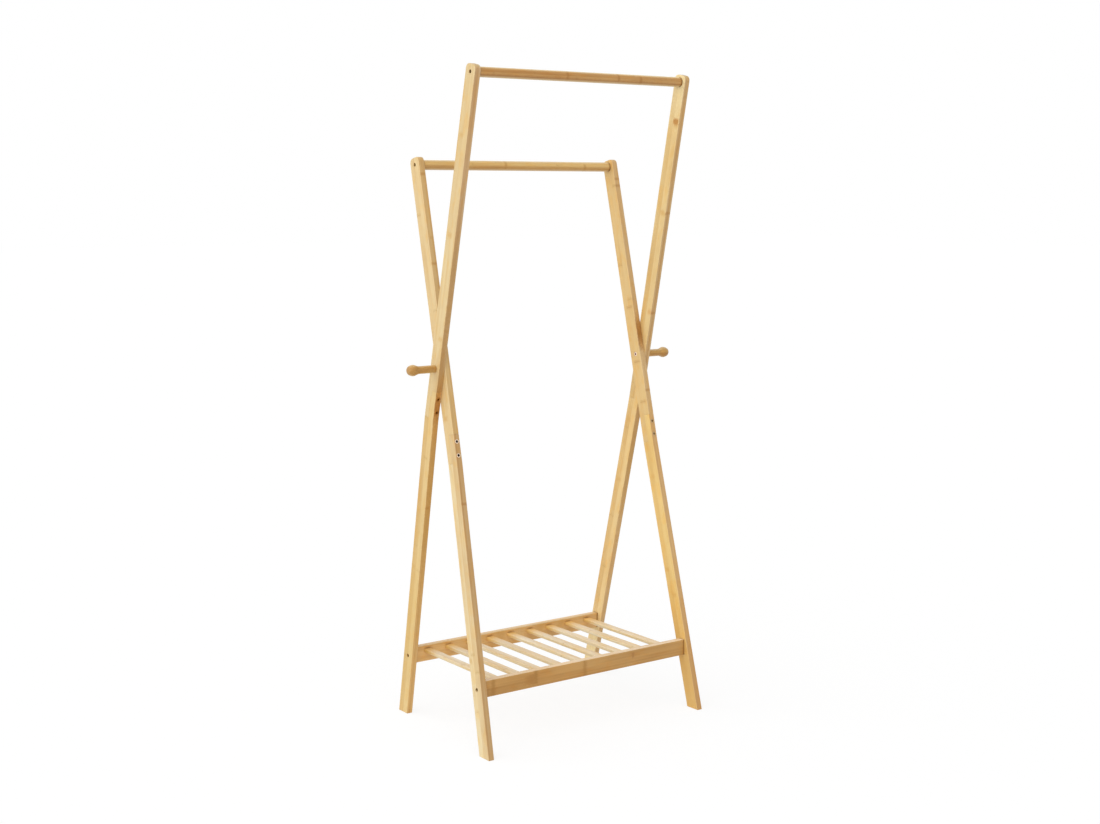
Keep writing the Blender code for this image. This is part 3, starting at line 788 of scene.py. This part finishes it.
def buildTurnedHead():
    # a screw head seen in its own coordinates, Z out of the head from the middle of its top
    tree, w, given, out = newGroup(
        "turnedHead",
        [
            ("Vector", vectorKind, (0, 0, 0)),
            ("Head Radius", floatKind, 0.0056),
            ("Socket Radius", floatKind, 0.0029),
            ("Color", colorKind, (0.6, 0.55, 0.5, 1)),
            ("Worn Color", colorKind, (0.4, 0.35, 0.3, 1)),
            ("Socket Shade", colorKind, (0.05, 0.04, 0.03, 1)),
            ("Roughness", floatKind, 0.42),
        ],
        [("Color", colorKind), ("Roughness", floatKind), ("Height", floatKind), ("Metal", floatKind)],
    )
    form = headForm
    x, y, _ = w.split(given["Vector"])
    radius = w.math("SQRT", w.plus(w.times(x, x), w.times(y, y)))
    socketPart = w.math("DIVIDE", radius, given["Socket Radius"])
    speck = w.noise(given["Vector"], *form["speck"])
    rings = w.math("SINE", w.times(radius, form["rings"]))
    # painted shade: the socket and a thin ring round its mouth take the dark socket colour and no metal, for the shade
    # in the recess
    inside = w.ease(socketPart, *form["inside"])
    lip = w.ease(w.size(w.minus(socketPart, form["lipAt"])), *form["lip"])
    rim = w.ease(w.math("DIVIDE", radius, given["Head Radius"]), *form["rim"])
    worn = w.plus(w.ease(speck, *form["worn"]), w.times(rim, form["rimWear"]), w.times(lip, form["lipWear"]))
    color = w.mix(w.math("MINIMUM", worn, 1.0), given["Color"], given["Worn Color"])
    w.put(out["Color"], w.mix(inside, color, given["Socket Shade"]))
    rougher = w.plus(w.times(w.minus(speck, 0.5), form["speckRoughness"]), w.times(inside, form["socketRoughness"]))
    w.put(out["Roughness"], w.plus(rougher, given["Roughness"]))
    w.put(out["Height"], w.plus(w.times(speck, form["speckHeight"]), w.times(rings, form["ringHeight"])))
    w.put(out["Metal"], w.minus(1.0, inside))
    return tree


screws = {
    "pitch": 0.035,                  # between the two screws of a lap joint
    "sink": 0.0004,                  # of a lap screw's head under the wood
    "offAxis": (0.3, 0.4, 0.5),      # any direction that isn't a screw's own
    "bump": 0.15,
    "bumpDepth": 0.0001,
    # the first of these that a screw's name starts with gives its look
    "kinds": {
        "lap_screw_tall_left": "shadedZinc", "lap_screw_short_right": "dull", "peg": "pink", "lap": "bright",
        "rail": "dark", "shelf": "dark",
    },
    "looks": {
        "bright": {
            "Color": (1.0, 0.85, 0.68, 1), "Worn Color": (1.0, 0.80, 0.60, 1),
            "Socket Shade": (0.030, 0.008, 0.001, 1), "Roughness": 0.42,
            "Head Radius": 0.0056, "Socket Radius": 0.0032,
        },
        "dull": {
            "Color": (0.64, 0.46, 0.26, 1), "Worn Color": (0.50, 0.34, 0.18, 1),
            "Socket Shade": (0.24, 0.130, 0.040, 1), "Roughness": 0.46,
            "Head Radius": 0.0056, "Socket Radius": 0.0029,
        },
        # painted shade: the tall left leg's lap screws are zinc like the others, painted darker and browner because
        # their heads face a little down, away from the light
        "shadedZinc": {
            "Color": (0.62, 0.32, 0.095, 1), "Worn Color": (0.46, 0.20, 0.05, 1),
            "Socket Shade": (0.17, 0.060, 0.008, 1), "Roughness": 0.50,
            "Head Radius": 0.0056, "Socket Radius": 0.0029,
        },
        "pink": {
            "Color": (1.0, 0.83, 0.72, 1), "Worn Color": (0.90, 0.66, 0.54, 1),
            "Socket Shade": (0.33, 0.18, 0.11, 1), "Roughness": 0.42,
            "Head Radius": 0.0056, "Socket Radius": 0.0029,
        },
        "dark": {
            "Color": (0.22, 0.152, 0.050, 1), "Worn Color": (0.115, 0.075, 0.024, 1),
            "Socket Shade": (0.055, 0.031, 0.006, 1), "Roughness": 0.50,
            "Head Radius": 0.0047, "Socket Radius": 0.0023,
        },
    },
}


def steelMaterial(name, look, head, outward):
    material, w, shader = newMaterial(name)
    place, _ = pieceCoordinates(w, *pieceFrame(head, outward, screws["offAxis"]))
    turned = w.group(turnedHead, {"Vector": place, **look})
    w.put(shader["Base Color"], turned["Color"])
    w.put(shader["Metallic"], turned["Metal"])
    w.put(shader["Roughness"], turned["Roughness"])
    w.put(shader["Normal"], w.bump(turned["Height"], screws["bump"], screws["bumpDepth"]))
    shader["Specular IOR Level"].default_value = 0.0
    return material


def headPlace(name):
    # the middle of a screw's head and the direction it looks in
    side = -1 if "_left" in name else 1
    low, high = (Vector(corner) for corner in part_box(name))
    if not name.startswith("lap"):
        outward = Vector((-side if name.startswith("peg") else side, 0, 0))
        return (low + high) / 2 + outward * (high.x - low.x) / 2, outward
    kind = name.split("_")[2]
    middle, along = legLine(kind, side)
    outward = Vector((0, -1, legs[kind]["slope"])).normalized()
    step = screws["pitch"] * (0.5 if name.endswith("top") else -0.5)
    lift = legs["halfSize"][1] - screws["sink"]
    return middle + along * step + outward * lift, outward


def dressScrews():
    for name in nodes:
        if "screw" in name:
            kind = next(kind for start, kind in screws["kinds"].items() if name.startswith(start))
            dress(name, steelMaterial(name, screws["looks"][kind], *headPlace(name)))


print("stage: bamboo")
dressLegs()
dressRails()
dressSlats()
dressPegs()
print("stage: screws")
turnedHead = buildTurnedHead()
dressScrews()

studio = {
    "floorSize": 60.0,
    "floorLevel": -0.0004,
    "floorShade": 0.19,       # how much of the floor's look is lit, the rest is plain white
    "shadeLight": 0.9,        # what the lit part gives where no shadow falls
    "floorBounce": 0.86,
    "ambient": 0.46,
    "keyStrength": 2.20,
    "keyFrom": (-0.75, -0.20, 0.63),
    "keyAngle": 110.0,        # degrees, as wide as a bright room
}


def plainlySeen(w):
    # 1 for the camera's own rays and for what metal and gloss show
    path = w.add("ShaderNodeLightPath").outputs
    return w.math("MINIMUM", w.plus(path["Is Camera Ray"], path["Is Glossy Ray"], path["Is Transmission Ray"]), 1.0)


def layFloor():
    half, level = studio["floorSize"] / 2, studio["floorLevel"]
    corners = [(x * half, y * half, level) for x, y in ((-1, -1), (1, -1), (1, 1), (-1, 1))]
    mesh = bpy.data.meshes.new("floor")
    mesh.from_pydata(corners, [], [(0, 1, 2, 3)])
    floor = bpy.data.objects.new("floor", mesh)
    bpy.context.scene.collection.objects.link(floor)
    material, w, shader = newMaterial("paleFloor")
    seen = plainlySeen(w)
    shade, bounce = studio["floorShade"], studio["floorBounce"]
    gray = w.minus(bounce, w.times(seen, bounce - shade))
    w.put(shader["Base Color"], w.combine(gray, gray, gray))
    w.put(shader["Emission Strength"], w.times(seen, 1.0 - shade * studio["shadeLight"]))
    shader["Emission Color"].default_value = (1, 1, 1, 1)
    shader["Roughness"].default_value = 1.0
    shader["Specular IOR Level"].default_value = 0.0
    mesh.materials.append(material)


def lightStudio():
    world = bpy.data.worlds.new("studio")
    bpy.context.scene.world = world
    world.use_nodes = True
    w = Wiring(world.node_tree)
    sky = world.node_tree.nodes["Background"]
    sky.inputs["Color"].default_value = (1, 1, 1, 1)
    ambient = studio["ambient"]
    w.put(sky.inputs["Strength"], w.plus(w.times(plainlySeen(w), 1.0 - ambient), ambient))
    lamp = bpy.data.lights.new("key", "SUN")
    lamp.energy = studio["keyStrength"]
    lamp.angle = math.radians(studio["keyAngle"])
    key = bpy.data.objects.new("key", lamp)
    bpy.context.scene.collection.objects.link(key)
    key.rotation_euler = Vector(studio["keyFrom"]).to_track_quat("Z", "Y").to_euler()


# fitted to the photograph; angles in radians, sensor and lens in millimetres
cameraView = {
    "place": (-2.5579, -3.4741, 1.4178),
    "yaw": 0.6360,
    "pitch": -0.1389,
    "roll": 0.0050,
    "sensor": 36.0,
    "lens": 54.081,
}


def placeCamera():
    data = bpy.data.cameras.new("camera")
    data.lens = cameraView["lens"]
    data.sensor_fit = "HORIZONTAL"
    data.sensor_width = cameraView["sensor"]
    camera = bpy.data.objects.new("camera", data)
    bpy.context.scene.collection.objects.link(camera)
    turn = Matrix.Rotation(-cameraView["yaw"], 4, "Z")
    turn = turn @ Matrix.Rotation(math.pi / 2 + cameraView["pitch"], 4, "X")
    turn = turn @ Matrix.Rotation(cameraView["roll"], 4, "Z")
    camera.matrix_world = Matrix.Translation(cameraView["place"]) @ turn
    bpy.context.scene.camera = camera


print("stage: studio")
layFloor()
lightStudio()
placeCamera()
bpy.context.scene.view_settings.view_transform = "Standard"

bpy.context.view_layer.update()
print("stage: finish")
